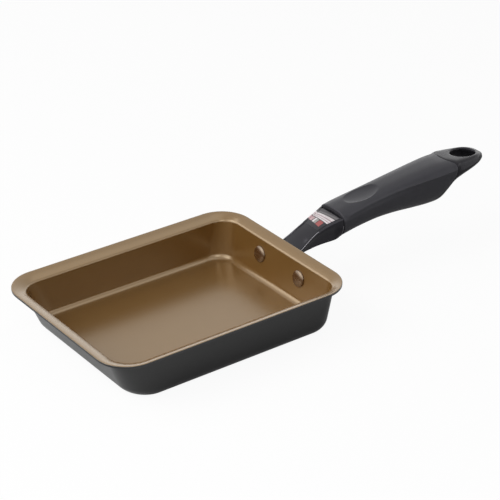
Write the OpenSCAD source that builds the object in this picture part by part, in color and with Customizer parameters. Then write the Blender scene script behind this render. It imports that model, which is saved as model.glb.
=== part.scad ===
// Rectangular rolled-omelette pan with a riveted bracket and a moulded handle.
// Origin: centre of the pan's base, on the plane that it rests on. +X runs along the handle, +Z is up.

/* [Pan] */
// Length over the rim, along the handle
rim_l = 193.4; // [186:0.2:204]
// Width over the rim
rim_w = 147.6; // [142:0.2:156]
// Height of the rim above the base
rim_h = 35.1; // [33:0.1:38]
// Corner radius of the rim
rim_r = 23.5; // [22:0.5:27]
// Thickness of the pressed sheet, measured level
sheet_t = 1.9; // [1.6:0.1:2.1]
// Thickness of the floor
floor_t = 2.5; // [2:0.1:3]
// Radius of the bend from the walls into the lip, on the inside
lip_r = 2.8; // [2.4:0.1:3.4]
// Depth below the rim at which the walls start to bend out
lip_depth = 5.25; // [4.75:0.05:6]
// Outer radius between the base and the walls
base_r = 8; // [7:0.5:9]
// Inner radius between the floor and the walls
fillet_r = 4; // [3:0.5:5]
// Outward lean of the wall at the handle, mm per mm
lean_handle = 0.16; // [0.12:0.01:0.2]
// Outward lean of the long walls, mm per mm
lean_side = 0.03; // [0.02:0.01:0.08]
// Outward lean of the wall at the free end, mm per mm
lean_free = 0.41; // [0.36:0.01:0.44]
// Reach of the lip beyond the outer face of the handle wall
lip_handle = 6.2; // [5.6:0.1:7]
// Reach of the lip beyond the outer face of the long walls
lip_side = 7.1; // [6.5:0.1:7.8]
// Reach of the lip beyond the outer face of the free end wall
lip_free = 8.3; // [7.4:0.1:9]

/* [Rivets and bracket] */
// Distance between the rivets
rivet_pitch = 45; // [42:0.5:46]
// Height of the rivets above the base
rivet_z = 20; // [19:0.5:21]
// Diameter of the rivet head inside the pan
rivet_head_d = 12; // [10:0.5:13]
// Height of the rivet head
rivet_head_h = 2.2; // [1.8:0.1:2.8]
// Diameter of the rivet shank
rivet_d = 5; // [4:0.5:6]
// Thickness of the bracket's steel
bracket_t = 2; // [1.8:0.1:2.2]
// Width of the plate behind the rivets
plate_w = 58; // [54:1:60]
// Width of the tang that runs into the handle
tang_w = 13; // [11:0.5:14]

/* [Handle] */
// Thickness of the soft sleeve on the core
sleeve_t = 2.4; // [2:0.1:2.6]
// Depth of the thumb recess
recess_depth = 1.5; // [0.8:0.1:1.6]
// Length of the thumb recess
recess_l = 29; // [26:1:34]
// Width of the thumb recess
recess_w = 16; // [12:1:18]
// Length of the hanging hole at its upper end
hang_l = 22; // [18:0.5:23]
// Width of the hanging hole at its upper end
hang_w = 15.4; // [12:0.2:16]
// Draft of the hanging hole, which narrows downwards, mm per mm
hang_draft = 0.15; // [0.05:0.01:0.18]
// Thickness of the neck guard's wall
guard_t = 1.2; // [1:0.1:1.3]
// Height of the rib along each edge of the neck guard
rib_h = 0.45; // [0.2:0.05:0.6]
// Diameter of the handle screw
screw_d = 4; // [3.5:0.5:4]

/* [Hidden] */

$fn = 48;
overlap = 0.01;        // lets one cutter run past a face
through = 60;          // length of a cutter that runs right through a piece
fit_gap = 0.05;        // radial room between a shank and its hole
tang_room = 0.15;      // room round the tang in the core
nut_room = 0.3;        // room round the nut in the core
screw_room = 0.2;      // radial room round the screw's shank in the tang and the core

// Pan: places of the walls
half_l = rim_l/2;
half_w = rim_w/2;
corner_steps = 10;
arc_steps = 5;
lip_z = rim_h - lip_depth;
under_r = lip_r - sheet_t;             // radius of the bend's lower face
lip_bend = 62;                         // angle of the bend
lip_even = 0.5;                        // share of the lip's fall that comes evenly, the rest towards the bend
foot_handle = half_l - lip_handle - lean_handle*lip_z;
foot_free = half_l - lip_free - lean_free*lip_z;
foot_side = half_w - lip_side - lean_side*lip_z;
foot_corner_r = [17.5, 19.5];          // corner radii at the handle and at the free end, at the base
wall_corner_r = [15, 18];              // and where the walls start to bend out
lean_angle = atan(lean_handle);
wall_normal_t = sheet_t*cos(lean_angle);

// Handle: sections in the handle's own frame, whose origin is the edge of the lip at rim height.
// Each row is x, half width, top, height of the widest line, bottom.
handle_rows = [
  [37.8, 14.2, 16.8, 7.9, -3.5], [53, 13.8, 19.3, 9.2, -0.9], [71, 13.5, 21.8, 10.7, 0.5],
  [88, 13.5, 24.1, 12.4, -0.3], [108, 13.9, 26.3, 14.4, -2.4], [123, 14.5, 27.7, 15.9, -3.5],
  [132, 14.8, 28.2, 17.1, -2.5], [137, 14.9, 28.1, 17.9, 1.9], [143, 14.9, 27.8, 18.9, 9.0],
  [150, 14.6, 27.2, 19.7, 12.7], [159, 13.3, 26.4, 20.1, 15.2], [167, 11.5, 25.7, 20.9, 17.3],
  [172.6, 8.7, 24.7, 21.2, 18.5], [176.4, 5.4, 23.4, 21.1, 19.2], [178.5, 1.2, 21.8, 20.9, 20.2]];
grip_x = handle_rows[0][0];
tail_x = handle_rows[len(handle_rows) - 1][0];
seam_x_top = 144.3;
seam_z = 17.5;
seam_lean = 0.55;
seam_soft = 3;
seam_bow = 5;          // how far the seam bows towards the pan over the handle's top
bow_power = 6;         // power that keeps the bow to the middle of the top
top_power = 3;
bottom_power = 2.4;
tail_power = 9;        // the tail's upper edges are crisper than the grip's
tail_slant = 0.18;     // and its sides lean in by this share of its half width
tail_change = [141, 149];
section_steps = 36;
grip_steps = 18;
tail_steps = 12;
tail_bunching = 1.5;   // power that crowds the sections towards the tail's end
recess_x = 63.5;
recess_power = 0.6;    // below 1 for a flatter bottom and steeper edges
hang_x = 161.3;
hang_top = 25.8;        // height at which the hanging hole has its full size

// Neck guard: each row is x, half width and height of the rib, half width and height of the lower edge
guard_rows = [
  [-0.2, 11, -3.1, 10.6, -4.7], [3, 10.8, -1.5, 10.4, -4.1], [7, 10.3, 0.7, 10, -3.8],
  [11, 9.9, 3.1, 9.7, -3.6], [16, 9.7, 5.7, 9.5, -3.3], [23, 10.2, 8.5, 9.6, -3.1],
  [30, 11.2, 10.7, 10.1, -3], [37.8, 12.9, 12.6, 10.7, -2.5]];
guard_steps = 16;
guard_crown = 0.8;
cheek_hollow = 0.5;
rib_w = 1.5;
label_first = 8;       // rings of the guard between which the label lies
label_last = 15;
label_t = 0.2;

// Tang: the line that it follows in the handle's frame. It runs up along the plate between two heights and
// then bends out under the lip. The slot for it in the core is a little longer.
tang_plate_z = [-9.4, -6.9];
tang_bend = [-2.9, -6.1];
tang_line = [[0, -5.3], [7, -2.6], [20, 2.7], [33, 7.7], [43, 9.5], [60, 10.5], [94, 11.8]];
slot_end = [95, 11.84];

// Screw, washers and nut, in the handle's frame
screw_x = 58.8;
nut_af = 7;
nut_h = 3.2;
nut_seat = 0.02;       // gap between the tang and the nut
head_r = 4;
head_h = 2.6;
seat_z = 5.6;          // height of the well's end, where the washer bears
washer_t = 0.8;
washer_r = 4.5;
spring_t = 1;
spring_r = 3.6;
well_r = 5.1;
shank_over = 0.3;      // length of shank past the nut
bore_over = 8.4;       // length of the core's screw hole past the tang

// Smooth value of column c of a table of rows at x
function row_slope(rows, c, i) = let(a = max(i - 1, 0), b = min(i + 1, len(rows) - 1))
  (rows[b][c] - rows[a][c])/(rows[b][0] - rows[a][0]);
function row_index(rows, x, i = 0) = i >= len(rows) - 2 || x < rows[i + 1][0] ? i : row_index(rows, x, i + 1);
function smooth(rows, c, x) =
  let(i = row_index(rows, x), h = rows[i + 1][0] - rows[i][0], t = (x - rows[i][0])/h,
      m = row_slope(rows, c, i)*h, n = row_slope(rows, c, i + 1)*h)
  (2*t^3 - 3*t^2 + 1)*rows[i][c] + (t^3 - 2*t^2 + t)*m + (3*t^2 - 2*t^3)*rows[i + 1][c] + (t^3 - t^2)*n;

// Faces that join rings of n points each
function side_faces(count, n, closed) =
  [for (i = [0:count - (closed ? 1 : 2)]) for (j = [0:n - 1])
    let(a = i*n + j, b = i*n + (j + 1)%n, c = ((i + 1)%count)*n + j, d = ((i + 1)%count)*n + (j + 1)%n)
    each [[a, b, d], [a, d, c]]];
// Rings with one flat polygon on each end, or closed into a loop
function join_faces(count, n, closed = false) = concat(side_faces(count, n, closed),
  closed ? [] : [[for (j = [0:n - 1]) n - 1 - j], [for (j = [0:n - 1]) (count - 1)*n + j]]);
// Rings that each run out along one line and back along another, with a strip on each end
function strip_faces(count, n) = concat(side_faces(count, n, false),
  [for (j = [0:n/2 - 2]) each [[n - 2 - j, j + 1, j], [n - 1 - j, n - 2 - j, j]]],
  [for (j = [0:n/2 - 2]) let(m = (count - 1)*n)
    each [[m + j, m + j + 1, m + n - 2 - j], [m + j, m + n - 2 - j, m + n - 1 - j]]]);
function flat(list) = [for (part = list) each part];

// Rounded rectangle at height z with its own ends and side, and corner radii r at the handle and the free end
function pan_ring(free, handle, side, r, z) =
  let(corners = [[handle, side, r[0], 0], [-free, side, r[1], 90], [-free, -side, r[1], 180],
                 [handle, -side, r[0], 270]])
  [for (c = corners) let(x = c[0] - sign(c[0])*c[2], y = c[1] - sign(c[1])*c[2])
    for (k = [0:corner_steps]) let(a = c[3] + 90*k/corner_steps) [x + c[2]*cos(a), y + c[2]*sin(a), z]];
function corner_r(z) = foot_corner_r + (wall_corner_r - foot_corner_r)*min(z/lip_z, 1);
// Ring on the walls' outer faces at height z, moved outwards by out
function wall_ring(z, out, at_z) = pan_ring(foot_free + lean_free*z + out, foot_handle + lean_handle*z + out,
  foot_side + lean_side*z + out, corner_r(z) + [out, out], at_z);
function edge_ring(z) = pan_ring(half_l, half_l, half_w, [rim_r, rim_r], z);
// Ring on the bend at angle a, with radius r on a face that lies out from the walls' outer faces
function bend_ring(a, r, out) = wall_ring(lip_z, out + r*(1 - cos(a)), lip_z + r*sin(a));
// Ring halfway between the lip's edge and its bend
function lip_middle(edge, bend) = [for (i = [0:len(edge) - 1]) let(p = (edge[i] + bend[i])/2)
  [p[0], p[1], edge[i][2] - (edge[i][2] - bend[i][2])*(1 + lip_even)/4]];
// Angles of an arc, from first to last
function arc(first, last) = [for (k = [0:arc_steps]) first + (last - first)*k/arc_steps];

pan_rings = concat(
  [for (a = arc(0, 90)) let(z = base_r*(1 - cos(a))) wall_ring(z, -base_r*(1 - sin(a)), z)],
  [for (a = arc(0, lip_bend)) bend_ring(a, under_r, 0)],
  [lip_middle(edge_ring(rim_h - sheet_t), bend_ring(lip_bend, under_r, 0))],
  [edge_ring(rim_h - sheet_t), edge_ring(rim_h)],
  [lip_middle(edge_ring(rim_h), bend_ring(lip_bend, lip_r, -sheet_t))],
  [for (a = arc(lip_bend, 0)) bend_ring(a, lip_r, -sheet_t)],
  [for (a = arc(90, 0)) let(z = floor_t + fillet_r*(1 - cos(a)))
    wall_ring(z, -sheet_t - fillet_r*(1 - sin(a)), z)]);

// Places a shape on the inner face of the handle wall, its z axis running out through the wall
module on_handle_wall(y, z) {
  translate([foot_handle + lean_handle*z - sheet_t, y, z]) rotate([0, 90 + lean_angle, 0]) children();
}

module rivet_holes() {
  for (side = [-1, 1]) on_handle_wall(side*rivet_pitch/2, rivet_z)
    translate([0, 0, -sheet_t]) cylinder(h = 3*sheet_t + bracket_t, d = rivet_d + 2*fit_gap);
}

module pan_body() color([0.62, 0.5, 0.36]) difference() {
  polyhedron(flat(pan_rings), join_faces(len(pan_rings), len(pan_rings[0])), convexity = 6);
  rivet_holes();
}

// Domed head inside the pan, shank, and the closed head on the bracket
module rivets() color([0.5, 0.38, 0.26]) {
  head_r_in = rivet_head_d/2;
  rim_edge = 0.5;
  dome_steps = 6;
  tail_r = 4.6;
  tail_h = 1.8;
  grip_l = wall_normal_t + bracket_t;
  dome_h = rivet_head_h - rim_edge;
  profile = concat(
    [[0, -rivet_head_h]],
    [for (k = [1:dome_steps]) let(a = 90*k/dome_steps) [head_r_in*sin(a), -rim_edge - dome_h*cos(a)]],
    [[head_r_in, 0], [rivet_d/2, 0], [rivet_d/2, grip_l], [tail_r, grip_l], [tail_r, grip_l + tail_h/2],
     [tail_r*0.8, grip_l + tail_h], [0, grip_l + tail_h]]);
  for (side = [-1, 1]) on_handle_wall(side*rivet_pitch/2, rivet_z)
    rotate_extrude() polygon(profile);
}

function rounded_outline(w, h, r, steps = 6) =
  [for (c = [[w/2 - r, h/2 - r, 0], [r - w/2, h/2 - r, 90], [r - w/2, r - h/2, 180], [w/2 - r, r - h/2, 270]])
    for (k = [0:steps]) let(a = c[2] + 90*k/steps) [c[0] + r*cos(a), c[1] + r*sin(a)]];

// Side view of the tang: a band of thickness t round its line
tang_root = [for (z = tang_plate_z) [foot_handle + lean_handle*(rim_h + z) + bracket_t/2 - half_l, z]];
tang_path = concat(tang_root, [tang_bend], tang_line);
function path_normal(p, i) = let(a = p[max(i - 1, 0)], b = p[min(i + 1, len(p) - 1)], d = b - a)
  [-d[1], d[0]]/norm(d);
function band(p, t) = concat([for (i = [0:len(p) - 1]) p[i] + path_normal(p, i)*t/2],
  [for (i = [len(p) - 1:-1:0]) p[i] - path_normal(p, i)*t/2]);
function line_z(p, x, i = 0) = i >= len(p) - 2 || x < p[i + 1][0] ?
  p[i][1] + (x - p[i][0])*(p[i + 1][1] - p[i][1])/(p[i + 1][0] - p[i][0]) : line_z(p, x, i + 1);
tang_z = line_z(tang_line, screw_x);

module handle_frame() { translate([half_l, 0, rim_h]) children(); }
// Extrudes a side view by w, centred on the handle's mid plane
module side_view(w) { rotate([90, 0, 0]) linear_extrude(w, center = true) children(); }

module mounting_bracket() color([0.2, 0.2, 0.21]) difference() {
  plate_h = 17;
  plate_r = 6;
  union() {
    on_handle_wall(0, rivet_z) translate([0, 0, wall_normal_t]) linear_extrude(bracket_t)
      polygon(rounded_outline(plate_h, plate_w, plate_r));
    handle_frame() side_view(tang_w) polygon(band(tang_path, bracket_t));
  }
  rivet_holes();
  handle_frame() translate([screw_x, 0, 0]) cylinder(h = through, d = screw_d + 2*screw_room);
}

// Half outline of the guard's outer face at x, from the middle of its top to its lower edge
function guard_half(x) =
  let(w = smooth(guard_rows, 1, x), z = smooth(guard_rows, 2, x), lw = smooth(guard_rows, 3, x),
      lz = smooth(guard_rows, 4, x), cheek_top = z - 0.8, inner = w - rib_w - 0.6)
  concat([for (s = [0, 0.3, 0.6, 0.85, 1]) [inner*s, z + guard_crown*(1 - (inner*s/w)^2)]],
    [[w - rib_w - 0.1, z - 0.05], [w - rib_w + 0.4, z + rib_h*0.8], [w - rib_w/2 + 0.1, z + rib_h],
     [w - 0.2, z + rib_h*0.1], [w, cheek_top]],
    [for (s = [0.33, 0.67, 1]) [w + (lw - w)*s - cheek_hollow*sin(180*s)*min((z - lz)/8, 1),
                                cheek_top + (lz - cheek_top)*s]]);
// Half outline of the guard's inner face, with as many points
function guard_inner_half(x) =
  let(w = smooth(guard_rows, 1, x), z = smooth(guard_rows, 2, x), lw = smooth(guard_rows, 3, x),
      lz = smooth(guard_rows, 4, x), iw = w - guard_t - 0.4, iz = z - guard_t, corner_z = iz - 0.3)
  concat([for (k = [0:8]) let(s = k/9) [iw*s, iz + guard_crown*(1 - s*s)]],
    [for (s = [0, 0.33, 0.67, 1]) [iw + (lw - guard_t - iw)*s, corner_z + (lz - corner_z)*s]]);
function mirror_half(h) = concat([for (i = [len(h) - 1:-1:1]) [-h[i][0], h[i][1]]], h);
function guard_x(i) = guard_rows[0][0] + (grip_x - guard_rows[0][0])*i/guard_steps;
guard_outer_n = 2*len(guard_half(0)) - 1;
function guard_ring(i) =
  let(x = guard_x(i), outer = mirror_half(guard_half(x)), inner = mirror_half(guard_inner_half(x)))
  [for (p = concat(outer, [for (k = [len(inner) - 1:-1:0]) inner[k]])) [x, p[0], p[1]]];
guard_rings = [for (i = [0:guard_steps]) guard_ring(i)];

module neck_guard() color([0.1, 0.1, 0.12]) handle_frame()
  polyhedron(flat(guard_rings), strip_faces(len(guard_rings), len(guard_rings[0])), convexity = 6);

// Handle's outer face at x and angle t, set in by e
function power_of(v, n) = sign(v)*pow(abs(v), 2/n);
function recess(x, y) =
  recess_depth*pow(max(0, 1 - ((x - recess_x)*2/recess_l)^2 - (2*y/recess_w)^2), recess_power);
// Share of the way from the grip's rounded top edges to the tail's crisp ones
function crisp(x) = let(way = (x - tail_change[0])/(tail_change[1] - tail_change[0]), s = min(max(way, 0), 1))
  s*s*(3 - 2*s);
function edge_pull(u, v, c) = let(p = top_power + (tail_power - top_power)*c)
  pow(pow(v, p) + pow(abs(u) + tail_slant*c*v, p), -1/p);
function skin(x, t, e = 0) =
  let(w = smooth(handle_rows, 1, x) - e, top = smooth(handle_rows, 2, x), mid = smooth(handle_rows, 3, x),
      low = smooth(handle_rows, 4, x), up = sin(t) >= 0, n = up ? top_power : bottom_power,
      u = power_of(cos(t), n), v = power_of(sin(t), n), pull = up ? edge_pull(u, v, crisp(x)) : 1,
      y = w*u*pull, z = mid + (up ? top - mid - e : mid - low - e)*v*pull)
  [x, y, z - (up && e == 0 ? recess(x, y) : 0)];
function seam_at(z) = let(d = seam_z - z) seam_x_top - seam_lean*(d + sqrt(d*d + seam_soft^2));
function seam_x(t, turns = 4) = seam_at(skin(turns > 1 ? seam_x(t, turns - 1) : seam_x_top, t)[2])
  - seam_bow*pow(max(sin(t), 0), bow_power);
section_angles = [for (k = [0:section_steps - 1]) 360*k/section_steps];
seam = [for (t = section_angles) seam_x(t)];
function grip_ring(u, e) = [for (k = [0:section_steps - 1])
  skin(grip_x + u*(seam[k] - grip_x), section_angles[k], e)];
function tail_ring(v) = [for (k = [0:section_steps - 1])
  skin(seam[k] + v*(tail_x - seam[k]), section_angles[k])];

// Oval hole that narrows downwards from its full size
module hang_hole() {
  hole_steps = 40;
  reach = 16;
  full = [hang_l, hang_w]/2;
  change = [reach, reach]*hang_draft;
  low = full - change;
  high = full + change;
  translate([hang_x, 0, hang_top - reach]) linear_extrude(2*reach, scale = [high[0]/low[0], high[1]/low[1]])
    polygon([for (k = [0:hole_steps - 1]) let(a = 360*k/hole_steps) [low[0]*cos(a), low[1]*sin(a)]]);
}

module handle_core() color([0.13, 0.13, 0.14]) handle_frame() difference() {
  rings = concat([for (i = [0:grip_steps]) grip_ring(i/grip_steps, sleeve_t)],
    [for (i = [0:tail_steps]) tail_ring(1 - (1 - i/tail_steps)^tail_bunching)]);
  nut_way = nut_af/2/cos(30) + nut_room;
  polyhedron(flat(rings), join_faces(len(rings), section_steps), convexity = 6);
  hang_hole();
  side_view(tang_w + 2*tang_room) polygon(band(concat(tang_line, [slot_end]), bracket_t + 2*tang_room));
  translate([grip_x - overlap, -nut_way, tang_z])
    cube([screw_x + nut_way - grip_x + overlap, 2*nut_way, bracket_t/2 + nut_h + nut_room]);
  translate([screw_x, 0, tang_z + bore_over - through]) cylinder(h = through, d = screw_d + 2*screw_room);
  screw_well();
}

module screw_well() { translate([screw_x, 0, seat_z - through]) cylinder(h = through, r = well_r); }

module grip_sleeve() color([0.2, 0.2, 0.22]) handle_frame() difference() {
  rings = concat([for (i = [0:grip_steps]) grip_ring(i/grip_steps, 0)],
    [for (i = [grip_steps:-1:0]) grip_ring(i/grip_steps, sleeve_t)]);
  polyhedron(flat(rings), join_faces(len(rings), section_steps, true), convexity = 6);
  screw_well();
}

washer_z = seat_z - washer_t;
spring_z = washer_z - spring_t;
head_z = spring_z - head_h;
nut_z = tang_z + bracket_t/2 + nut_seat;

module at_screw(z) { handle_frame() translate([screw_x, 0, z]) children(); }
// Hole of diameter d, right through a piece that lies round the screw
module screw_hole(d) { translate([0, 0, -through/2]) cylinder(h = through, d = d); }

module handle_screw() color([0.72, 0.73, 0.75]) at_screw(head_z) difference() {
  slot_w = 0.9;
  slot_l = 4.6;
  slot_depth = 1.5;
  edge = 1;
  union() {
    rotate_extrude() polygon([[0, 0], [head_r - edge, 0], [head_r, edge], [head_r, head_h], [0, head_h]]);
    cylinder(h = nut_z + nut_h + shank_over - head_z, d = screw_d);
  }
  for (a = [0, 90]) rotate(a) translate([-slot_l/2, -slot_w/2, -overlap]) cube([slot_l, slot_w, slot_depth]);
}

module flat_washer() color([0.78, 0.78, 0.8]) at_screw(washer_z) difference() {
  cylinder(h = washer_t, r = washer_r);
  screw_hole(screw_d + 0.3);
}

module spring_washer() color([0.68, 0.69, 0.71]) at_screw(spring_z) difference() {
  split_w = 0.7;
  cylinder(h = spring_t, r = spring_r);
  screw_hole(screw_d + 0.2);
  translate([0, -split_w/2, -spring_t]) cube([washer_r, split_w, 3*spring_t]);
}

module tang_nut() color([0.75, 0.75, 0.77]) at_screw(nut_z) difference() {
  cylinder(h = nut_h, d = nut_af/cos(30), $fn = 6);
  screw_hole(screw_d + 2*fit_gap);
}

// Label wrapped over the guard's top between its ribs
module neck_label() color([0.9, 0.88, 0.86]) handle_frame() {
  top_n = 5;
  middle = (guard_outer_n - 1)/2;
  picks = [for (k = [-top_n + 1:top_n - 1]) middle + k];
  lower = [for (i = [label_first:label_last]) [for (k = picks) guard_rings[i][k]]];
  upper = [for (ring = lower) [for (p = ring) p + [0, 0, label_t]]];
  rings = [for (i = [0:len(lower) - 1]) concat(lower[i], [for (k = [len(picks) - 1:-1:0]) upper[i][k]])];
  polyhedron(flat(rings), strip_faces(len(rings), len(rings[0])), convexity = 4);
}

pan_body();
rivets();
mounting_bracket();
neck_guard();
handle_core();
grip_sleeve();
handle_screw();
flat_washer();
spring_washer();
tang_nut();
neck_label();
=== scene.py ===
"""Looks of a rolled-omelette pan: coated sheet, riveted handle, soft grip and hanging hole."""

import math

import bmesh
import bpy
import numpy as np
from mathutils import Matrix, Vector


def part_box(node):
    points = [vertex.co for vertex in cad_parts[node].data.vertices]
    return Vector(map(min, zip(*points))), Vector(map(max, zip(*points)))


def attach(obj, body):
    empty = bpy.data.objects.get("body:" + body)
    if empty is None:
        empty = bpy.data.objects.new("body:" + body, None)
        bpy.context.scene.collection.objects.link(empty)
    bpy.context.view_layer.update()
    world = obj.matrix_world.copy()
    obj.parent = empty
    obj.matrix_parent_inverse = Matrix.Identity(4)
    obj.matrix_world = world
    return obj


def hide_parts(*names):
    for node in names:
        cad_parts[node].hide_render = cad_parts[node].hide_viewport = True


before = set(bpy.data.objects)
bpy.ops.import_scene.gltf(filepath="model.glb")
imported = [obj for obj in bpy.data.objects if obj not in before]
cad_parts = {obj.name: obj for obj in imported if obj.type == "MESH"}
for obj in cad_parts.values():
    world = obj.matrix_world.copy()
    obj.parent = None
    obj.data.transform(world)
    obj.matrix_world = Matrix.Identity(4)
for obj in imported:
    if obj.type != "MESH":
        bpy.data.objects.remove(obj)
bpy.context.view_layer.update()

# Shapes are written in millimetres, as in the part's source, and turned into metres at the end
MM = 0.001

# Pan, whose outer size comes from the frame
_, pan_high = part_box("pan_body")
HALF_L = pan_high.x / MM
HALF_W = pan_high.y / MM
RIM_H = pan_high.z / MM
RIM_R = 23.5                      # corner radius of the lip's edge
SHEET = 1.9                       # thickness of walls and lip
FLOOR = 2.5                       # thickness of the floor
BASE_R, FILLET_IN = 8, 4          # rounding from base or floor to the walls, outside and inside
LIP_R = 2.8                       # bend from the walls to the lip, on the tan side
UNDER_R = LIP_R - SHEET           # the same bend on the black side
EDGE_R = 0.45                     # rounding of the lip's edge
# How far each wall leans out for each millimetre of height, and how far the lip reaches past it
LEAN_HANDLE, LEAN_SIDE, LEAN_FREE = 0.16, 0.03, 0.41
LIP_HANDLE, LIP_SIDE, LIP_FREE = 6.2, 7.1, 8.3
# Corner radii of the walls' outer faces at the handle and at the free end, low down and at the top
FOOT_CORNER = (17.5, 19.5)
WALL_CORNER = (15, 18)
LIP_Z = RIM_H - 5.25              # top of the straight walls
BEND = math.radians(62)           # angle through which the walls bend out into the lip
LIP_SAG = 0.5                     # share of the lip's fall that comes evenly, the rest by the bend
FOOT_HANDLE = HALF_L - LIP_HANDLE - LEAN_HANDLE * LIP_Z
FOOT_FREE = HALF_L - LIP_FREE - LEAN_FREE * LIP_Z
FOOT_SIDE = HALF_W - LIP_SIDE - LEAN_SIDE * LIP_Z

# Rivets
RIVET_PITCH = 45
RIVET_Z = 20
RIVET_HEAD_R, RIVET_HEAD_H, RIVET_R = 6, 2.2, 2.5
RIVET_TAIL_R, RIVET_TAIL_H = 4.6, 1.8
RIVET_ROOM = 0.05                 # room round the shank in the wall
BRACKET = 2                       # thickness of the bracket behind the wall

# Handle, in its own frame: the origin is the edge of the lip at rim height.
# Each row is x, half width, top, height of the widest line, bottom.
HANDLE_ROWS = [
    (37.8, 14.2, 16.8, 7.9, -3.5), (53, 13.8, 19.3, 9.2, -0.9), (71, 13.5, 21.8, 10.7, 0.5),
    (88, 13.5, 24.1, 12.4, -0.3), (108, 13.9, 26.3, 14.4, -2.4), (123, 14.5, 27.65, 15.9, -3.4),
    (132, 14.8, 28.1, 17.1, -2.5), (137, 14.85, 28.0, 17.9, 1.9), (143, 14.85, 27.75, 18.9, 9.0),
    (150, 14.6, 27.2, 19.7, 12.7), (159, 13.3, 26.4, 20.1, 15.2), (167, 11.5, 25.7, 20.9, 17.3),
    (172.6, 8.7, 24.7, 21.2, 18.5), (176.4, 5.4, 23.4, 21.1, 19.2), (178.5, 1.2, 21.8, 20.9, 20.2)]
GRIP_X = HANDLE_ROWS[0][0]
TAIL_X = HANDLE_ROWS[-1][0]
TOP_POWER, BOTTOM_POWER = 3, 2.4  # powers of the section's curves, 2 for an ellipse
SLEEVE = 2.4                      # thickness of the soft sleeve
SLEEVE_EDGE, SEAM_EDGE = 0.7, 0.3
# The tail's upper edges are crisper than the grip's, and its sides lean in towards its top
TAIL_POWER, TAIL_SLANT, TAIL_CHANGE = 9, 0.18, (141, 149)
# A bead runs along each shoulder of the grip. Each row is x and the bead's angle round the
# section, in degrees. A radian round the section is taken as BEAD_ARC times its height there.
BEAD_ROWS = [(37.8, 28), (53, 30.5), (68, 32), (90, 29), (113, 20.5), (136.4, 13.6), (146, 12)]
BEAD_H, BEAD_WIDTH, BEAD_ARC, BEAD_FADE = 0.45, 0.85, 0.75, 8
# Thumb recess: middle, length, width, depth and the power of its bowl
RECESS_X, RECESS_L, RECESS_W, RECESS_DEPTH, RECESS_POWER = 63.5, 29, 16, 1.9, 0.6
# Line between sleeve and core: it leans forwards below SEAM_Z and bows forwards on the top
SEAM_TOP, SEAM_Z, SEAM_LEAN, SEAM_SOFT = 144.3, 17.5, 0.55, 3
SEAM_BOW, BOW_POWER = 5, 6
# Hanging hole: middle, length and width at the height HANG_TOP, from which it narrows downwards
HANG_X, HANG_L, HANG_W, HANG_TOP, HANG_DRAFT = 161.3, 22, 15.4, 25.8, 0.15
HANG_TOP_R, HANG_LOW_R = 1.0, 0.5
# Access well of the screw, cut from WELL_START below the rim up to WELL_TOP above it
SCREW_X, WELL_R, WELL_TOP, WELL_START = 58.8, 5.1, 5.6, 20

# Neck guard, in the handle's frame.
# Each row is x, half width at the rib, height of the rib, half width and height of the lower edge.
GUARD_ROWS = [
    (-0.2, 11, -3.1, 10.6, -4.7), (3, 10.8, -1.5, 10.4, -4.1), (7, 10.3, 0.7, 10, -3.8),
    (11, 9.9, 3.1, 9.7, -3.6), (16, 9.7, 5.7, 9.5, -3.3), (23, 10.2, 8.5, 9.6, -3.1),
    (30, 11.2, 10.7, 10.1, -3), (34, 12.1, 11.7, 10.5, -2.4), (37.8, 13.2, 12.6, 11.1, -0.1)]
GUARD_T = 1.2                     # thickness, which is RIB_MORE_T greater at the ribs
RIB_MORE_T, INNER_TURN = 0.4, 0.3
GUARD_CROWN = 0.8                 # rise of the top from the ribs to the middle
GUARD_END_R, GUARD_END_DROP = 0.5, 0.8
# The ribs grow from GROW_X on, over GROW_L. A rib's width and its turn into the cheek are each
# given at the start, with the growth. The turn takes up to TURN_SHARE of the cheek.
GROW_X, GROW_L = 8, 24
RIB_W, RIB_TURN, TURN_SHARE, RIB_H, GROOVE_W = (0.95, 1.0), (0.7, 1.2), 0.4, 0.7, 0.7
# Points of a rib's crest, as shares of its width from outside and of its height
RIB_CREST = ((0.75, 0.9), (0.45, 1), (0.15, 0.4))
# The cheeks are hollow, less so where they are under CHEEK_H high, and swell at the rear end
CHEEK_HOLLOW, CHEEK_H = 0.5, 8
SWELL, SWELL_X, SWELL_L = 1.6, 31, 6.8
# A thin collar runs down the cheeks COLLAR_BACK before the rear end
COLLAR_OUT, COLLAR_BACK, COLLAR_W = 0.35, 0.7, 0.35

# Label, whose near and far edges stay inside the guard's width by LABEL_IN
LABEL_X = (18.8, 36.2)
LABEL_IN = (3.0, 0.5)
LABEL_T = 0.15

SHARP = 40                        # angle in degrees over which an edge is shaded sharp


def ease(value):
    """Smooth step from 0 to 1."""
    t = np.clip(value, 0, 1)
    return t * t * (3 - 2 * t)


def smooth(rows, x):
    """Columns of a table of rows at x, on a smooth curve through the rows."""
    table = np.array(rows, float)
    knots, values = table[:, 0], table[:, 1:]
    before = np.maximum(np.arange(len(knots)) - 1, 0)
    after = np.minimum(np.arange(len(knots)) + 1, len(knots) - 1)
    slopes = (values[after] - values[before]) / (knots[after] - knots[before])[:, None]
    i = np.clip(np.searchsorted(knots, x, "right") - 1, 0, len(knots) - 2)
    step = (knots[i + 1] - knots[i])[..., None]
    t = (np.asarray(x, float)[..., None] - knots[i][..., None]) / step
    result = ((2 * t**3 - 3 * t**2 + 1) * values[i] + (t**3 - 2 * t**2 + t) * step * slopes[i]
              + (3 * t**2 - 2 * t**3) * values[i + 1] + (t**3 - t**2) * step * slopes[i + 1])
    return np.moveaxis(result, -1, 0)


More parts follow.
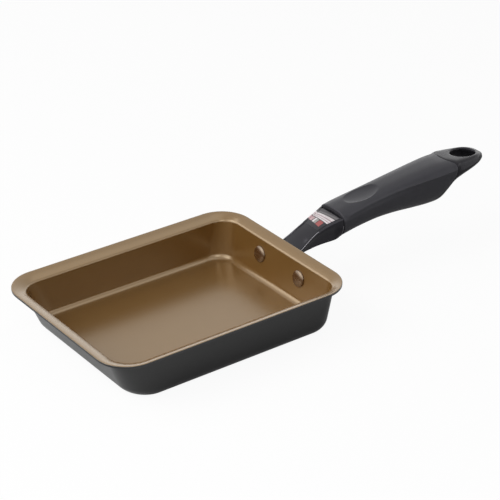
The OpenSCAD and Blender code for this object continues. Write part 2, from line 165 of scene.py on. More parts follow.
def curve(points, per_span):
    """A smooth line through points, ends included."""
    p = np.array(points, float)
    padded = np.vstack([2 * p[0] - p[1], p, 2 * p[-1] - p[-2]])
    made = []
    for i in range(1, len(padded) - 2):
        a, b, c, d = padded[i - 1:i + 3]
        for t in np.arange(per_span) / per_span:
            made.append(0.5 * (2 * b + (c - a) * t + (2 * a - 5 * b + 4 * c - d) * t**2
                               + (3 * b - a - 3 * c + d) * t**3))
    return np.array(made + [p[-1]])


def arc(steps, falling=False):
    """Angles of a quarter circle, from 0 to 90 degrees or back."""
    angles = np.linspace(0, math.pi / 2, steps + 1)
    return angles[::-1] if falling else angles


def rounding(radius, steps, falling=False):
    """Inset and rise of points on a rounded edge, from its flat face to its side or back."""
    return [(radius * (1 - math.sin(a)), radius * (1 - math.cos(a))) for a in arc(steps, falling)]


def turns(steps):
    """Angles of a full circle."""
    return np.arange(steps) * 2 * math.pi / steps


# Meshes

def mesh_object(name, points, faces):
    """An object in the scene, with a mesh of millimetre points."""
    mesh = bpy.data.meshes.new(name)
    mesh.from_pydata([tuple(p) for p in np.asarray(points) * MM], [], faces)
    made = bpy.data.objects.new(name, mesh)
    bpy.context.scene.collection.objects.link(made)
    return made


def finish_normals(mesh, sharp=SHARP):
    """Turns all faces outwards and shades them smooth, but for edges over the sharp angle."""
    work = bmesh.new()
    work.from_mesh(mesh)
    bmesh.ops.recalc_face_normals(work, faces=work.faces)
    work.to_mesh(mesh)
    work.free()
    mesh.polygons.foreach_set("use_smooth", [True] * len(mesh.polygons))
    mesh.set_sharp_from_angle(angle=math.radians(sharp))
    mesh.update()


def new_piece(name, points, faces, replaced, materials, face_materials=None, sharp=SHARP):
    """A mesh piece of millimetre points that rides on the one body and stands for CAD nodes."""
    piece = mesh_object(name, points, faces)
    for material in materials:
        piece.data.materials.append(material)
    if face_materials is not None:
        piece.data.polygons.foreach_set("material_index", face_materials)
    finish_normals(piece.data, sharp)
    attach(piece, "root")
    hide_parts(*replaced)
    return piece


def band_faces(count, n, closed=False):
    """Quads between rings of n points, from the first ring to the last, or round in a loop."""
    made = []
    for i in range(count if closed else count - 1):
        a, b = i * n, (i + 1) % count * n
        made += [(a + j, a + (j + 1) % n, b + (j + 1) % n, b + j) for j in range(n)]
    return made


def end_caps(count, n):
    """One face over the first ring of n points and one over the last."""
    return [tuple(range(n))[::-1], tuple(range((count - 1) * n, count * n))]


def strip_caps(count, n):
    """Quads over the end rings, where rings run out along one line and back along another."""
    half = n // 2
    last = (count - 1) * n
    return ([(j + 1, j, n - 1 - j, n - 2 - j) for j in range(half - 1)]
            + [(last + j, last + j + 1, last + n - 2 - j, last + n - 1 - j)
               for j in range(half - 1)])


def bake(piece):
    """Applies a piece's modifiers to its mesh."""
    evaluated = piece.evaluated_get(bpy.context.evaluated_depsgraph_get())
    made = bpy.data.meshes.new_from_object(evaluated)
    piece.modifiers.clear()
    piece.data = made


def cutter(name, points, faces):
    """A hidden solid of millimetre points, for cutting."""
    made = mesh_object(name, points, faces)
    finish_normals(made.data)
    return made


def cut(piece, *cutters):
    """Takes each cutter out of the piece, and removes the cutters."""
    for tool in cutters:
        step = piece.modifiers.new(tool.name, "BOOLEAN")
        step.operation = "DIFFERENCE"
        step.solver = "EXACT"
        step.object = tool
    bake(piece)
    for tool in cutters:
        bpy.data.objects.remove(tool)


def tube(centre, axis, radius, length, steps=48):
    """Points and faces of a plain round cutter that starts at centre and runs along axis."""
    turn = Vector(axis).to_track_quat("Z", "Y").to_matrix()
    points = [Vector(centre) + turn @ Vector((radius * math.cos(a), radius * math.sin(a), z))
              for z in (0, length) for a in turns(steps)]
    return points, band_faces(2, steps) + end_caps(2, steps)


def lathe(profile, steps=64):
    """Points and faces of a profile of radius and height that is turned round its axis.

    Both ends of the profile lie on the axis.
    """
    inner = profile[1:-1]
    points = [(0, 0, profile[0][1])]
    for r, z in inner:
        points += [(r * math.cos(a), r * math.sin(a), z) for a in turns(steps)]
    points.append((0, 0, profile[-1][1]))
    faces = [tuple(1 + v for v in face) for face in band_faces(len(inner), steps)]
    last = 1 + (len(inner) - 1) * steps
    faces += [(0, 1 + (j + 1) % steps, 1 + j) for j in range(steps)]
    faces += [(last + j, last + (j + 1) % steps, len(points) - 1) for j in range(steps)]
    return points, faces


# Materials

def new_material(name):
    """A material with nodes, and its node tree."""
    material = bpy.data.materials.new(name)
    material.use_nodes = True
    return material, material.node_tree


def add_node(tree, kind, inputs=None, **settings):
    """A shader node with its settings, and its inputs set to values or linked to sockets."""
    node = tree.nodes.new(kind)
    for key, value in settings.items():
        setattr(node, key, value)
    for socket, value in (inputs or {}).items():
        if isinstance(value, bpy.types.NodeSocket):
            tree.links.new(value, node.inputs[socket])
        else:
            node.inputs[socket].default_value = value
    return node


def map_range(tree, value, source, target, **settings):
    """A value mapped from the source pair of numbers to the target pair."""
    inputs = {"Value": value, "From Min": source[0], "From Max": source[1],
              "To Min": target[0], "To Max": target[1]}
    return add_node(tree, "ShaderNodeMapRange", inputs, **settings).outputs["Result"]


def noise(tree, size_mm, detail=2.0):
    """Noise in the object's own space with features of about size_mm."""
    place = add_node(tree, "ShaderNodeTexCoord")
    inputs = {"Vector": place.outputs["Object"], "Scale": 1 / (size_mm * MM), "Detail": detail}
    return add_node(tree, "ShaderNodeTexNoise", inputs).outputs["Fac"]


def between(tree, factor, low, high):
    """Maps noise, mostly from 0.3 to 0.7, to a number between low and high."""
    return map_range(tree, factor, (0.3, 0.7), (low, high))


def blend_colours(tree, factor, first, second):
    """Colour between two, by a factor."""
    mix = add_node(tree, "ShaderNodeMix", {"Factor": factor}, data_type="RGBA")
    for socket, colour in ((mix.inputs[6], first), (mix.inputs[7], second)):
        if isinstance(colour, bpy.types.NodeSocket):
            tree.links.new(colour, socket)
        else:
            socket.default_value = (*colour, 1)
    return mix.outputs[2]


def surface(name, colours, cloud_mm, rough, rough_mm, bump,
            metallic=0.0, ior=1.5, level=0.5, tint=(1, 1, 1)):
    """A material whose colour drifts between two colours and whose gloss and relief are uneven.

    rough is the lowest and highest roughness, cloud_mm and rough_mm are the sizes of the noise in
    colour and roughness, and bump is the grain's size and height in millimetres. level and tint
    set the strength and colour of the gloss.
    """
    material, tree = new_material(name)
    shader = tree.nodes["Principled BSDF"]
    shader.inputs["Metallic"].default_value = metallic
    shader.inputs["IOR"].default_value = ior
    shader.inputs["Specular IOR Level"].default_value = level
    shader.inputs["Specular Tint"].default_value = (*tint, 1)
    cloud = between(tree, noise(tree, cloud_mm), 0, 1)
    tree.links.new(blend_colours(tree, cloud, *colours), shader.inputs["Base Color"])
    tree.links.new(between(tree, noise(tree, rough_mm, 3), *rough), shader.inputs["Roughness"])
    grain_mm, height_mm = bump
    relief = add_node(tree, "ShaderNodeBump", {"Height": noise(tree, grain_mm, 3), "Strength": 1.0,
                                               "Distance": height_mm * MM})
    tree.links.new(relief.outputs["Normal"], shader.inputs["Normal"])
    return material


tan_coat = surface("tan_coating", ((0.176, 0.09, 0.023), (0.17, 0.086, 0.022)),
                   14, (0.23, 0.26), 3, (0.5, 0.0007), ior=2.12, tint=(1, 0.82, 0.58))
black_paint = surface("black_paint", ((0.002, 0.002, 0.002), (0.0035, 0.0035, 0.0035)),
                      20, (0.08, 0.13), 8, (3, 0.004), ior=1.65)
tan_rivet = surface("tan_rivet", ((0.075, 0.03, 0.008), (0.065, 0.026, 0.007)),
                    3, (0.24, 0.28), 2, (0.5, 0.001), ior=2.1, tint=(1, 0.82, 0.62))
gloss_black = surface("gloss_black", ((0.006, 0.0065, 0.0075), (0.008, 0.0085, 0.0095)),
                      12, (0.1, 0.16), 5, (2, 0.0005), level=0.42, tint=(0.92, 0.885, 1))
hard_black = surface("hard_black_plastic", ((0.006, 0.006, 0.007), (0.008, 0.008, 0.0095)),
                     6, (0.26, 0.32), 2, (0.35, 0.003), level=0.23, tint=(0.92, 0.9, 1))
soft_black = surface("soft_black_grip", ((0.014, 0.014, 0.0165), (0.018, 0.018, 0.021)),
                     8, (0.4, 0.46), 1.5, (0.3, 0.008), level=0.4, tint=(0.93, 0.91, 1))
# Light metal for thin strips on the guard's rib crests and along its collar: a painted highlight
# that stands in for the gleam on those edges
painted_highlight = surface("painted_highlight", ((0.3, 0.29, 0.31), (0.4, 0.39, 0.41)),
                    4, (0.22, 0.3), 2, (0.5, 0.001), metallic=1.0)
black_steel = surface("black_steel", ((0.022, 0.022, 0.024), (0.03, 0.03, 0.032)),
                      6, (0.3, 0.42), 2, (0.6, 0.008))
zinc = surface("zinc_steel", ((0.6, 0.61, 0.63), (0.68, 0.68, 0.69)),
               1.5, (0.25, 0.38), 0.8, (0.25, 0.004), metallic=1.0)

# Label's print. Its white band lies between two slanted edges, each with its x on the handle's
# middle line and its slope, and takes the shares WHITE_BAND of the print along the neck.
WHITE_EDGES = ((26.9, 0.031), (32.2, -0.082))
WHITE_BAND = (0.4, 0.7)
PRINT_Y = (10.8, -9.2)            # far and near end of the print across the neck


def label_print():
    """Dark film with a fanned white band, plain blocks before it and a dim band behind it."""
    material, tree = new_material("label_paper")
    shader = tree.nodes["Principled BSDF"]
    shader.inputs["Specular IOR Level"].default_value = 0.4
    place = add_node(tree, "ShaderNodeTexCoord")
    axes = add_node(tree, "ShaderNodeSeparateXYZ", {"Vector": place.outputs["Object"]})

    def slanted(middle, slope):
        """x of a line across the label that meets its middle line at middle."""
        inputs = {0: axes.outputs["Y"], 1: slope, 2: (HALF_L + middle) * MM}
        return add_node(tree, "ShaderNodeMath", inputs, operation="MULTIPLY_ADD").outputs[0]

    def bands(value, stops):
        """Plain bands, each from the share where it starts to the next one's start."""
        ramp = add_node(tree, "ShaderNodeValToRGB", {"Fac": value})
        ramp.color_ramp.interpolation = "CONSTANT"
        for i, (position, colour) in enumerate(stops):
            elements = ramp.color_ramp.elements
            stop = elements[i] if i < 2 else elements.new(position)
            stop.position = position
            stop.color = (*colour, 1)
        return ramp.outputs["Color"]

    along = map_range(tree, axes.outputs["X"], [slanted(*edge) for edge in WHITE_EDGES],
                      WHITE_BAND, clamp=False)
    across = map_range(tree, axes.outputs["Y"], [y * MM for y in PRINT_Y], (0, 1))
    film, back, dim = (0.016, 0.0155, 0.02), (0.08, 0.075, 0.078), (0.2, 0.19, 0.195)
    white, stripe, grey = (0.95, 0.88, 0.89), (0.55, 0.37, 0.39), (0.45, 0.45, 0.43)
    red, pink = (0.5, 0.13, 0.125), (0.75, 0.52, 0.54)
    blocks = bands(across, [(0, pink), (0.27, film), (0.31, white), (0.4, grey), (0.52, film),
                            (0.55, red), (0.77, film)])
    rows = bands(along, [(0, film), (WHITE_BAND[0], white), (0.47, stripe), (0.49, white),
                         (0.56, stripe), (0.59, white), (WHITE_BAND[1], back), (0.74, dim),
                         (0.83, back)])
    in_blocks = bands(along, [(0, (0, 0, 0)), (0.12, (1, 1, 1)), (0.37, (0, 0, 0))])
    picked = blend_colours(tree, in_blocks, rows, blocks)
    fade = between(tree, noise(tree, 2.5), 0.0, 0.12)
    tree.links.new(blend_colours(tree, fade, picked, film), shader.inputs["Base Color"])
    tree.links.new(between(tree, noise(tree, 1.5), 0.32, 0.45), shader.inputs["Roughness"])
    return material


label_paper = label_print()


# Pan

CORNER_STEPS = 20
SIDE_STEPS = 10
ARC_STEPS, UNDER_STEPS, EDGE_STEPS = 12, 6, 4
LIP_SHARES = np.linspace(0, 1, 12)[1:-1]
WALL_SHARES = (0.25, 0.5, 0.75)
FLAT_IN = 6                       # from the rounding to the innermost ring of base and floor


def pan_ring(free, handle, side, radii, z):
    """Rounded rectangle at height z, from x -free to handle and y -side to side.

    radii holds the corner radii at the handle and at the free end.
    """
    near, far = radii
    corners = [(handle - near, side - near, near), (far - free, side - far, far),
               (far - free, far - side, far), (handle - near, near - side, near)]
    made = []
    for quarter, (cx, cy, radius) in enumerate(corners):
        for k in range(CORNER_STEPS + 1):
            a = math.pi / 2 * (quarter + k / CORNER_STEPS)
            made.append((cx + radius * math.cos(a), cy + radius * math.sin(a), z))
        a = math.pi / 2 * (quarter + 1)
        nx, ny, next_radius = corners[(quarter + 1) % 4]
        start = (cx + radius * math.cos(a), cy + radius * math.sin(a))
        end = (nx + next_radius * math.cos(a), ny + next_radius * math.sin(a))
        for k in range(1, SIDE_STEPS):
            t = k / SIDE_STEPS
            made.append((start[0] + t * (end[0] - start[0]), start[1] + t * (end[1] - start[1]), z))
    return np.array(made)


def wall_ring(z, out, at_z=None):
    """Ring on the walls' outer faces at height z, moved out by out, and to height at_z if given."""
    share = min(z / LIP_Z, 1)
    radii = [foot + (wall - foot) * share + out for foot, wall in zip(FOOT_CORNER, WALL_CORNER)]
    return pan_ring(FOOT_FREE + LEAN_FREE * z + out, FOOT_HANDLE + LEAN_HANDLE * z + out,
                    FOOT_SIDE + LEAN_SIDE * z + out, radii, z if at_z is None else at_z)


def straight_rings(low_z, out, shares):
    """Rings on the straight walls, at shares of the way from low_z up to the bend."""
    return [wall_ring(low_z + t * (LIP_Z - low_z), out) for t in shares]


def lip_edge_ring(inset, z):
    """Ring at height z along the lip's edge, set in by inset."""
    radius = RIM_R - inset
    return pan_ring(HALF_L - inset, HALF_L - inset, HALF_W - inset, (radius, radius), z)


def lip_between(edge, bend, shares):
    """Rings on a face of the lip, at shares of the way from its edge ring to the bend's ring."""
    fall = edge[0, 2] - bend[0, 2]
    made = []
    for share in shares:
        ring = edge + share * (bend - edge)
        ring[:, 2] = edge[0, 2] - fall * (LIP_SAG * share + (1 - LIP_SAG) * share**2)
        made.append(ring)
    return made


def pan_rings():
    """Rings from the base's middle over the outside, the lip and the inside to the floor's middle.

    The second value is the number of the first ring whose faces are tan.
    """
    outside = [wall_ring(0, -BASE_R - FLAT_IN)]
    outside += [wall_ring(rise, -inset) for inset, rise in rounding(BASE_R, ARC_STEPS)]
    outside += straight_rings(BASE_R, 0, WALL_SHARES)
    outside += [wall_ring(LIP_Z, UNDER_R * (1 - math.cos(a)), LIP_Z + UNDER_R * math.sin(a))
                for a in np.linspace(0, BEND, UNDER_STEPS)]
    edge = [lip_edge_ring(inset, RIM_H - SHEET + rise)
            for inset, rise in rounding(EDGE_R, EDGE_STEPS)]
    outside += lip_between(edge[0], outside[-1], LIP_SHARES[::-1])
    top = [lip_edge_ring(inset, RIM_H - rise) for inset, rise in rounding(EDGE_R, EDGE_STEPS, True)]
    bend = [wall_ring(LIP_Z, LIP_R * (1 - math.cos(a)) - SHEET, LIP_Z + LIP_R * math.sin(a))
            for a in np.linspace(BEND, 0, ARC_STEPS)]
    inside = lip_between(top[-1], bend[0], LIP_SHARES) + bend
    inside += straight_rings(FLOOR + FILLET_IN, -SHEET, WALL_SHARES[::-1])
    inside += [wall_ring(FLOOR + rise, -SHEET - inset)
               for inset, rise in rounding(FILLET_IN, ARC_STEPS, True)]
    inside.append(wall_ring(FLOOR, -SHEET - FILLET_IN - FLAT_IN))
    return outside + edge + top + inside, len(outside) + len(edge) + len(top) // 2


def make_pan():
    """The pressed pan, black outside and tan inside, with holes for the rivets."""
    rings, first_tan = pan_rings()
    n = len(rings[0])
    faces = band_faces(len(rings), n)
    looks = [int(i // n >= first_tan) for i in range(len(faces))] + [0, 1]
    piece = new_piece("pan_body_fine", np.vstack(rings), faces + end_caps(len(rings), n),
                      ["pan_body"], [black_paint, tan_coat], looks)
    for place in rivet_places():
        start = place @ Vector((0, 0, -SHEET))
        axis = place.to_3x3() @ Vector((0, 0, 1))
        cut(piece, cutter("rivet_hole", *tube(start, axis, RIVET_R + RIVET_ROOM, 3 * SHEET)))
    finish_normals(piece.data)


def rivet_places():
    """Each rivet's place on the inner face of the handle wall, with z out through the wall."""
    turn = Matrix.Rotation(math.pi / 2 + math.atan(LEAN_HANDLE), 4, "Y")
    x = FOOT_HANDLE + LEAN_HANDLE * RIVET_Z - SHEET
    return [Matrix.Translation((x, side * RIVET_PITCH / 2, RIVET_Z)) @ turn for side in (-1, 1)]


def make_rivets():
    """Both rivets, each with a domed head inside the pan and a closed head on the bracket."""
    grip = SHEET * math.cos(math.atan(LEAN_HANDLE)) + BRACKET
    rim, chamfer, taper, dome_steps = 0.5, 0.15, 0.8, 14
    dome = [(RIVET_HEAD_R * math.sin(a), -rim - (RIVET_HEAD_H - rim) * math.cos(a))
            for a in arc(dome_steps)]
    head = [(0, -RIVET_HEAD_H)] + dome[1:] + [(RIVET_HEAD_R, -chamfer), (RIVET_HEAD_R - chamfer, 0)]
    tail = [(RIVET_TAIL_R, grip), (RIVET_TAIL_R, grip + RIVET_TAIL_H / 2),
            (RIVET_TAIL_R * taper, grip + RIVET_TAIL_H), (0, grip + RIVET_TAIL_H)]
    points, faces = lathe(head + [(RIVET_R, 0), (RIVET_R, grip)] + tail)
    all_points, all_faces = [], []
    for place in rivet_places():
        all_faces += [tuple(v + len(all_points) for v in face) for face in faces]
        all_points += [tuple(place @ Vector(p)) for p in points]
    new_piece("rivets_fine", all_points, all_faces, ["rivets"], [tan_rivet], sharp=50)


# Handle

SECTION_STEPS = 144
GRIP_STEPS, END_STEPS, END_SHARE = 110, 7, 0.012
TAIL_STEPS, TAIL_CROWDING = 60, 1.5
SEAM_ROUNDS = 8                   # rounds in which the seam finds its height on the skin
SECTION = turns(SECTION_STEPS)


def power_of(value, power):
    """A sine or cosine turned into that of a rounded square."""
    return np.sign(value) * np.abs(value) ** (2 / power)


def skin(x, angle, inset=0.0, dented=True):
    """Points of the handle's outer face at x and an angle round its section, set in by inset.

    A dented face has the grip's thumb recess and the beads along its shoulders.
    """
    x = x + 0 * angle
    width, top, mid, low = smooth(HANDLE_ROWS, x)
    up = np.sin(angle) >= 0
    power = np.where(up, TOP_POWER, BOTTOM_POWER)
    side, rise = power_of(np.cos(angle), power), power_of(np.sin(angle), power)
    crisp = ease((x - TAIL_CHANGE[0]) / (TAIL_CHANGE[1] - TAIL_CHANGE[0]))
    edge = TOP_POWER + (TAIL_POWER - TOP_POWER) * crisp
    leaning = np.abs(side) + TAIL_SLANT * crisp * np.abs(rise)
    pull = np.where(up, (np.abs(rise) ** edge + leaning ** edge) ** (-1 / edge), 1)
    width = width - inset
    reach = np.where(up, top - mid - inset, mid - low - inset)
    y, z = width * side * pull, mid + reach * rise * pull
    if dented:
        swell = bead(x, angle, reach)
        y, z = y + swell * side, z + swell * rise
        z = z - np.where(up, recess(x, y), 0)
    return np.stack([x, y, z], -1)


def bead(x, angle, reach):
    """Height of the bead on the grip's shoulder, which fades out at the grip's front."""
    middle = np.radians(smooth(BEAD_ROWS, x)[0])
    from_side = np.minimum(angle % (2 * math.pi), (math.pi - angle) % (2 * math.pi))
    gap = (from_side - middle) * reach * BEAD_ARC
    return BEAD_H * np.exp(-(gap / BEAD_WIDTH) ** 2) * ease((x - GRIP_X) / BEAD_FADE)


def recess(x, y):
    """Depth of the thumb recess at a point of the grip's top."""
    bowl = 1 - ((x - RECESS_X) * 2 / RECESS_L) ** 2 - (2 * y / RECESS_W) ** 2
    return RECESS_DEPTH * np.maximum(0, bowl) ** RECESS_POWER


def seam():
    """x of the line between sleeve and core, for each angle of the section."""
    x = np.full(SECTION_STEPS, float(SEAM_TOP))
    bow = SEAM_BOW * np.maximum(np.sin(SECTION), 0) ** BOW_POWER
    for _ in range(SEAM_ROUNDS):
        down = SEAM_Z - skin(x, SECTION, dented=False)[:, 2]
        x = SEAM_TOP - SEAM_LEAN * (down + np.sqrt(down * down + SEAM_SOFT**2)) - bow
    return x


SEAM = seam()


def to_part(points):
    """From the handle's frame to the part's."""
    return np.asarray(points, float) + np.array([HALF_L, 0, RIM_H])


def rounded(distance, radius):
    """How far a face drops at a distance from its rounded end."""
    t = np.clip(1 - distance / radius, 0, 1)
    return radius * (1 - np.sqrt(1 - t * t))


def under_sleeve(shares):
    """Rings on the core's face under the sleeve, at shares of the way from front to seam."""
    return [skin(GRIP_X + share * (SEAM - GRIP_X), SECTION, SLEEVE, dented=False)
            for share in shares]


def well_cutter():
    """A cutter for the access well of the screw."""
    start = (HALF_L + SCREW_X, 0, RIM_H - WELL_START)
    return cutter("well", *tube(start, (0, 0, 1), WELL_R, WELL_START + WELL_TOP))


def make_sleeve():
    """The soft sleeve, from the grip's front to the seam, with the screw's well below."""
    shares = np.concatenate([np.linspace(0, END_SHARE, END_STEPS)[:-1],
                             np.linspace(END_SHARE, 1 - END_SHARE, GRIP_STEPS),
                             np.linspace(1 - END_SHARE, 1, END_STEPS)[1:]])
    outer = []
    for share in shares:
        x = GRIP_X + share * (SEAM - GRIP_X)
        drop = np.maximum(rounded(x - GRIP_X, SLEEVE_EDGE), rounded(SEAM - x, SEAM_EDGE))
        outer.append(skin(x, SECTION, drop))
    rings = outer + under_sleeve(np.linspace(1, 0, GRIP_STEPS // 2))
    piece = new_piece("grip_sleeve_fine", to_part(np.vstack(rings)),
                      band_faces(len(rings), SECTION_STEPS, True),
                      ["grip_sleeve"], [soft_black])
    cut(piece, well_cutter())
    finish_normals(piece.data)


def hole_cutter():
    """A cutter for the hanging hole, which narrows downwards and rounds off the hole's edges."""
    steps, edge_steps = 72, 6
    past_top, past_low = 2, -3
    widest = 0.98                 # keeps off the section's ends, where its sides are upright
    angles = turns(steps)

    def ring(flare, from_top, from_low):
        """Ring that follows the tail's top or underside at a distance, widened by flare."""
        x, y = HANG_X + HANG_L / 2 * np.cos(angles), HANG_W / 2 * np.sin(angles)
        width, top, mid, low = smooth(HANDLE_ROWS, x)
        share = np.clip(np.abs(y) / width, 0, widest)
        leaning = share + TAIL_SLANT * (1 - share)
        high = mid + (top - mid) * (1 - leaning ** TAIL_POWER) ** (1 / TAIL_POWER)
        deep = mid - (mid - low) * (1 - share**BOTTOM_POWER) ** (1 / BOTTOM_POWER)
        z = high + from_top if from_top is not None else deep + from_low
        wider = flare + HANG_DRAFT * (z - HANG_TOP)
        return np.stack([x + wider * np.cos(angles), y + wider * np.sin(angles), z], -1)

    rings = [ring(HANG_LOW_R, None, past_low)]
    rings += [ring(inset, None, rise) for inset, rise in rounding(HANG_LOW_R, edge_steps)]
    rings += [ring(inset, -rise, None) for inset, rise in rounding(HANG_TOP_R, edge_steps, True)]
    rings += [ring(HANG_TOP_R, past_top, None)]
    faces = band_faces(len(rings), steps) + end_caps(len(rings), steps)
    return cutter("hanging_hole", to_part(np.vstack(rings)), faces)


def make_core():
    """The hard core: its front part lies under the sleeve, and its tail shows."""
    tail = [skin(SEAM + share * (TAIL_X - SEAM), SECTION,
                 rounded(share * (TAIL_X - SEAM), SEAM_EDGE), dented=False)
            for share in 1 - (1 - np.linspace(0, 1, TAIL_STEPS)) ** TAIL_CROWDING]
    rings = under_sleeve(np.linspace(0, 1, GRIP_STEPS // 2)) + tail
    count = len(rings)
    piece = new_piece("handle_core_fine", to_part(np.vstack(rings)),
                      band_faces(count, SECTION_STEPS) + end_caps(count, SECTION_STEPS),
                      ["handle_core"], [hard_black])
    cut(piece, hole_cutter(), well_cutter())
    remesh = piece.modifiers.new("remesh", "REMESH")
    remesh.mode = "VOXEL"
    remesh.voxel_size = 0.45 * MM
    soften = piece.modifiers.new("soften", "SMOOTH")
    soften.factor = 0.5
    soften.iterations = 5
    bake(piece)
    piece.data.materials.clear()
    piece.data.materials.append(hard_black)
    finish_normals(piece.data, sharp=60)


# Neck guard and label

GUARD_STEPS = 60
# Close rings at the rear end: distances from it of the last wide and the first close ring
LAST_WIDE, FIRST_CLOSE, CLOSE_STEPS = 1.6, 1.4, 12
TOP_SHARES = (0, 0.3, 0.6, 0.85, 0.97)
CHEEK_SHARES = (0.25, 0.5, 0.75, 1)
SPAN_STEPS = 4                    # outline points for each point that the outline runs through
# Points of a half outline, counted from its middle: those of the top and the rib's crest, and
# the first one that has the collar
TOP_POINTS, COLLAR_FROM = 38, 44
# Painted highlight: a light metal strip lies on the crest of each rib, up to the end x given below,
# and on a line along the collar
HIGHLIGHT_POINTS, HIGHLIGHT_END = (29, 33), 18
HIGHLIGHT_BACK, HIGHLIGHT_HALF_W = 0.75, 0.16
LABEL_STEPS = 40


def guard_outline(x):
    """Half outline of the guard's outer face at x, from the middle of its top to its lower edge."""
    w, z, low_w, low_z = smooth(GUARD_ROWS, np.array(x))
    grow = float(ease((x - GROW_X) / GROW_L))
    rib = RIB_W[0] + RIB_W[1] * grow
    turn = min(RIB_TURN[0] + RIB_TURN[1] * grow, (z - low_z) * TURN_SHARE)
    groove = w - rib - GROOVE_W
    top = [(groove * s, z + GUARD_CROWN * (1 - (groove * s / w) ** 2)) for s in TOP_SHARES]
    crest = [(groove + 0.25, z - 0.25), (groove + 0.5, z + RIB_H * 0.2)]
    crest += [(w - rib * s, z + RIB_H * rise) for s, rise in RIB_CREST] + [(w, z - turn)]
    swell = SWELL * float(ease((x - SWELL_X) / SWELL_L))
    hollow = CHEEK_HOLLOW * min((z - low_z) / CHEEK_H, 1) - swell
    cheek = [(w + (low_w - w) * s - hollow * math.sin(math.pi * s),
              z - turn + (low_z - z + turn) * s) for s in CHEEK_SHARES]
    return curve(top + crest + cheek, SPAN_STEPS)


def guard_inner(x, count):
    """Half outline of the guard's inner face at x, in count points."""
    w, z, low_w, low_z = smooth(GUARD_ROWS, np.array(x))
    inner_w, inner_z = w - GUARD_T - RIB_MORE_T, z - GUARD_T
    top = [(inner_w * s, inner_z + GUARD_CROWN * (1 - s * s)) for s in np.linspace(0, 0.92, 6)]
    cheek = [(inner_w + (low_w - GUARD_T - inner_w) * s,
              inner_z - INNER_TURN + (low_z - inner_z + INNER_TURN) * s)
             for s in np.linspace(0, 1, 5)]
    line = curve(top + cheek, 2 * SPAN_STEPS)
    return line[np.round(np.linspace(0, len(line) - 1, count)).astype(int)]


def both_sides(half):
    """A half outline and its mirror image, from one lower edge over the top to the other."""
    mirrored = half[:0:-1] * np.array([-1, 1])
    return np.vstack([mirrored, half])


def at_x(x, outline):
    """Points of an outline of y and z at x."""
    return np.column_stack([np.full(len(outline), x), outline])


def make_guard():
    """The thin cover over the neck, with a rib along each upper edge and a collar at its rear."""
    first, last = GUARD_ROWS[0][0], GUARD_ROWS[-1][0]
    rings, looks = [], []
    for x in np.concatenate([np.linspace(first, last - LAST_WIDE, GUARD_STEPS),
                             np.linspace(last - FIRST_CLOSE, last, CLOSE_STEPS)]):
        outer = guard_outline(x)
        collar = math.exp(-((x - last + COLLAR_BACK) / COLLAR_W) ** 2)
        outer[COLLAR_FROM:, 0] += COLLAR_OUT * collar
        drop = rounded(np.array(last - x), GUARD_END_R) * GUARD_END_DROP
        outer[:, 0] -= drop * np.clip(outer[:, 0] / outer[:, 0].max(), 0, 1)
        outer[:, 1] -= drop * np.clip(1 - outer[:, 0] / outer[:, 0].max() * 0.5, 0, 1)
        inner = guard_inner(x, len(outer))
        rings.append(at_x(x, np.vstack([both_sides(outer), both_sides(inner)[::-1]])))
        # Faces on the ribs' crests and on a line along the collar take the light strip, a painted
        # highlight
        from_middle = np.abs(np.arange(len(rings[0])) + 0.5 - (len(outer) - 1))
        on_crest = (from_middle > HIGHLIGHT_POINTS[0]) & (from_middle < HIGHLIGHT_POINTS[1]) & (x < HIGHLIGHT_END)
        on_collar = ((from_middle > COLLAR_FROM) & (from_middle < len(outer) - 2)
                     & (abs(x - last + HIGHLIGHT_BACK) < HIGHLIGHT_HALF_W))
        looks += [int(look) for look in on_crest | on_collar]
    n = len(rings[0])
    caps = strip_caps(len(rings), n)
    looks = looks[:-n] + [0] * len(caps)
    new_piece("neck_guard_fine", to_part(np.vstack(rings)), band_faces(len(rings), n) + caps,
              ["neck_guard"], [gloss_black, painted_highlight], looks)


def make_label():
    """The film on the guard's top, which also covers the rib on the far side."""
    rings = []
    for x in np.linspace(*LABEL_X, LABEL_STEPS):
        w = smooth(GUARD_ROWS, np.array(x))[0]
        top = both_sides(guard_outline(x)[:TOP_POINTS])
        y = np.linspace(-(w - LABEL_IN[0]), w - LABEL_IN[1], LABEL_STEPS)
        low = np.column_stack([y, np.interp(y, top[:, 0], top[:, 1])])
        high = low + np.array([0, LABEL_T])
        rings.append(at_x(x, np.vstack([high, low[::-1]])))
    count, n = len(rings), len(rings[0])
    new_piece("neck_label_fine", to_part(np.vstack(rings)),
              band_faces(count, n) + strip_caps(count, n),
              ["neck_label"], [label_paper])


make_pan()
make_rivets()
make_sleeve()
make_core()
make_guard()
make_label()

# CAD nodes that stay: each gets a better material and softened edges of a width in millimetres
KEPT = {"mounting_bracket": (black_steel, 0.35), "handle_screw": (zinc, 0.12),
        "flat_washer": (zinc, 0.08), "spring_washer": (zinc, 0.1), "tang_nut": (zinc, 0.15)}
for node_name, (kept_material, edge_mm) in KEPT.items():
    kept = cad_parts[node_name]
    kept.data.materials.clear()
    kept.data.materials.append(kept_material)
    kept.data.polygons.foreach_set("use_smooth", [True] * len(kept.data.polygons))
    kept.data.set_sharp_from_angle(angle=math.radians(35))
    soft_edge = kept.modifiers.new("edges", "BEVEL")
    soft_edge.width = edge_mm * MM
    soft_edge.segments = 2
    soft_edge.limit_method = "ANGLE"
    soft_edge.angle_limit = math.radians(40)


# Stage, light and camera

# Brightness of the surroundings: as soft light, and in reflections of what is high and of the
# horizon. The third changes to the second between two sines of the elevation.
SKY_DIFFUSE, SKY_GLOSSY, HORIZON_GLOSSY = 0.08, 1.15, 2.1
GLOSSY_SINES = (0.05, 0.62)
# Floor: half its side, its colour, and the share and strength of plain white for the camera
FLOOR_HALF, FLOOR_COLOUR = 4000, 0.94
FLOOR_WHITE, WHITE_STRENGTH = 0.9, 1.03
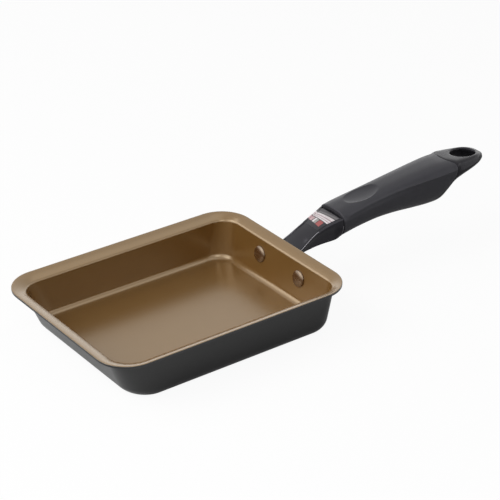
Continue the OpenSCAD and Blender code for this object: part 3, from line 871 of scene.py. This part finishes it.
# Lamps, aimed at the pan: name, place and side length in metres, and power in watts
LAMPS = [("key", (-1.1, 0.75, 1.1), 1.5, 12.5),
         ("left", (-1.25, 0.05, 1.05), 1.3, 9),
         ("front", (-0.55, -1.0, 1.05), 0.6, 3.6),
         ("overhead", (0.6, -0.2, 1.5), 1.2, 2.5)]
# Camera, fitted to the photo: angles in degrees, place in metres, focal length in its pixels
VIEW_AZIMUTH, VIEW_ELEVATION, VIEW_ROLL = -36.56, 28.33, 0.13
EYE = (-0.6256, -0.9264, 0.6629)
FOCAL_PX, PHOTO_PX = 1888, 500
SENSOR_MM = 36


def make_floor():
    """A pale floor that takes the shadow, and that the camera sees mixed with plain white."""
    half = FLOOR_HALF
    corners = [(-half, -half, 0), (half, -half, 0), (half, half, 0), (-half, half, 0)]
    floor = mesh_object("floor", corners, [(0, 1, 2, 3)])
    material, tree = new_material("floor")
    tree.nodes.clear()
    path = add_node(tree, "ShaderNodeLightPath")
    plain = add_node(tree, "ShaderNodeBsdfDiffuse", {"Color": (*[FLOOR_COLOUR] * 3, 1)})
    white = add_node(tree, "ShaderNodeEmission",
                     {"Color": (1, 1, 1, 1), "Strength": WHITE_STRENGTH})
    share = add_node(tree, "ShaderNodeMath", {0: path.outputs["Is Camera Ray"], 1: FLOOR_WHITE},
                     operation="MULTIPLY")
    mix = add_node(tree, "ShaderNodeMixShader",
                   {0: share.outputs[0], 1: plain.outputs[0], 2: white.outputs[0]})
    add_node(tree, "ShaderNodeOutputMaterial", {"Surface": mix.outputs[0]})
    floor.data.materials.append(material)


def make_world():
    """Surroundings that the camera sees as white, with levels of their own for light and gloss."""
    world = bpy.data.worlds.new("studio")
    bpy.context.scene.world = world
    world.use_nodes = True
    tree = world.node_tree
    tree.nodes.clear()
    path = add_node(tree, "ShaderNodeLightPath")
    place = add_node(tree, "ShaderNodeTexCoord")
    axes = add_node(tree, "ShaderNodeSeparateXYZ", {"Vector": place.outputs["Generated"]})
    gloss = map_range(tree, axes.outputs["Z"], GLOSSY_SINES, (HORIZON_GLOSSY, SKY_GLOSSY),
                      interpolation_type="SMOOTHSTEP")
    level = map_range(tree, path.outputs["Is Glossy Ray"], (0, 1), (SKY_DIFFUSE, gloss))
    seen = add_node(tree, "ShaderNodeMath", {0: level, 1: path.outputs["Is Camera Ray"]},
                    operation="MAXIMUM")
    sky = add_node(tree, "ShaderNodeBackground",
                   {"Color": (1, 1, 1, 1), "Strength": seen.outputs[0]})
    add_node(tree, "ShaderNodeOutputWorld", {"Surface": sky.outputs[0]})


def make_lamp(name, place, size, watts):
    """A square lamp that is aimed at the origin."""
    light = bpy.data.lights.new(name, "AREA")
    light.shape = "SQUARE"
    light.size = size
    light.energy = watts
    lamp = bpy.data.objects.new(name, light)
    lamp.location = place
    lamp.rotation_mode = "QUATERNION"
    lamp.rotation_quaternion = (-Vector(place)).to_track_quat("-Z", "Y")
    bpy.context.scene.collection.objects.link(lamp)


def make_camera():
    """The camera, with the photo's own view of the object."""
    camera = bpy.data.cameras.new("camera")
    camera.sensor_width = SENSOR_MM
    camera.lens = FOCAL_PX / PHOTO_PX * SENSOR_MM
    camera.clip_start, camera.clip_end = 0.05, 20
    holder = bpy.data.objects.new("camera", camera)
    azimuth, tilt, roll = (math.radians(degrees)
                           for degrees in (VIEW_AZIMUTH, 90 - VIEW_ELEVATION, VIEW_ROLL))
    turn = Matrix.Rotation(azimuth, 4, "Z") @ Matrix.Rotation(tilt, 4, "X")
    holder.matrix_world = Matrix.Translation(EYE) @ turn @ Matrix.Rotation(roll, 4, "Z")
    bpy.context.scene.collection.objects.link(holder)
    bpy.context.scene.camera = holder


make_floor()
make_world()
for lamp_values in LAMPS:
    make_lamp(*lamp_values)
make_camera()
bpy.context.scene.view_settings.view_transform = "Standard"
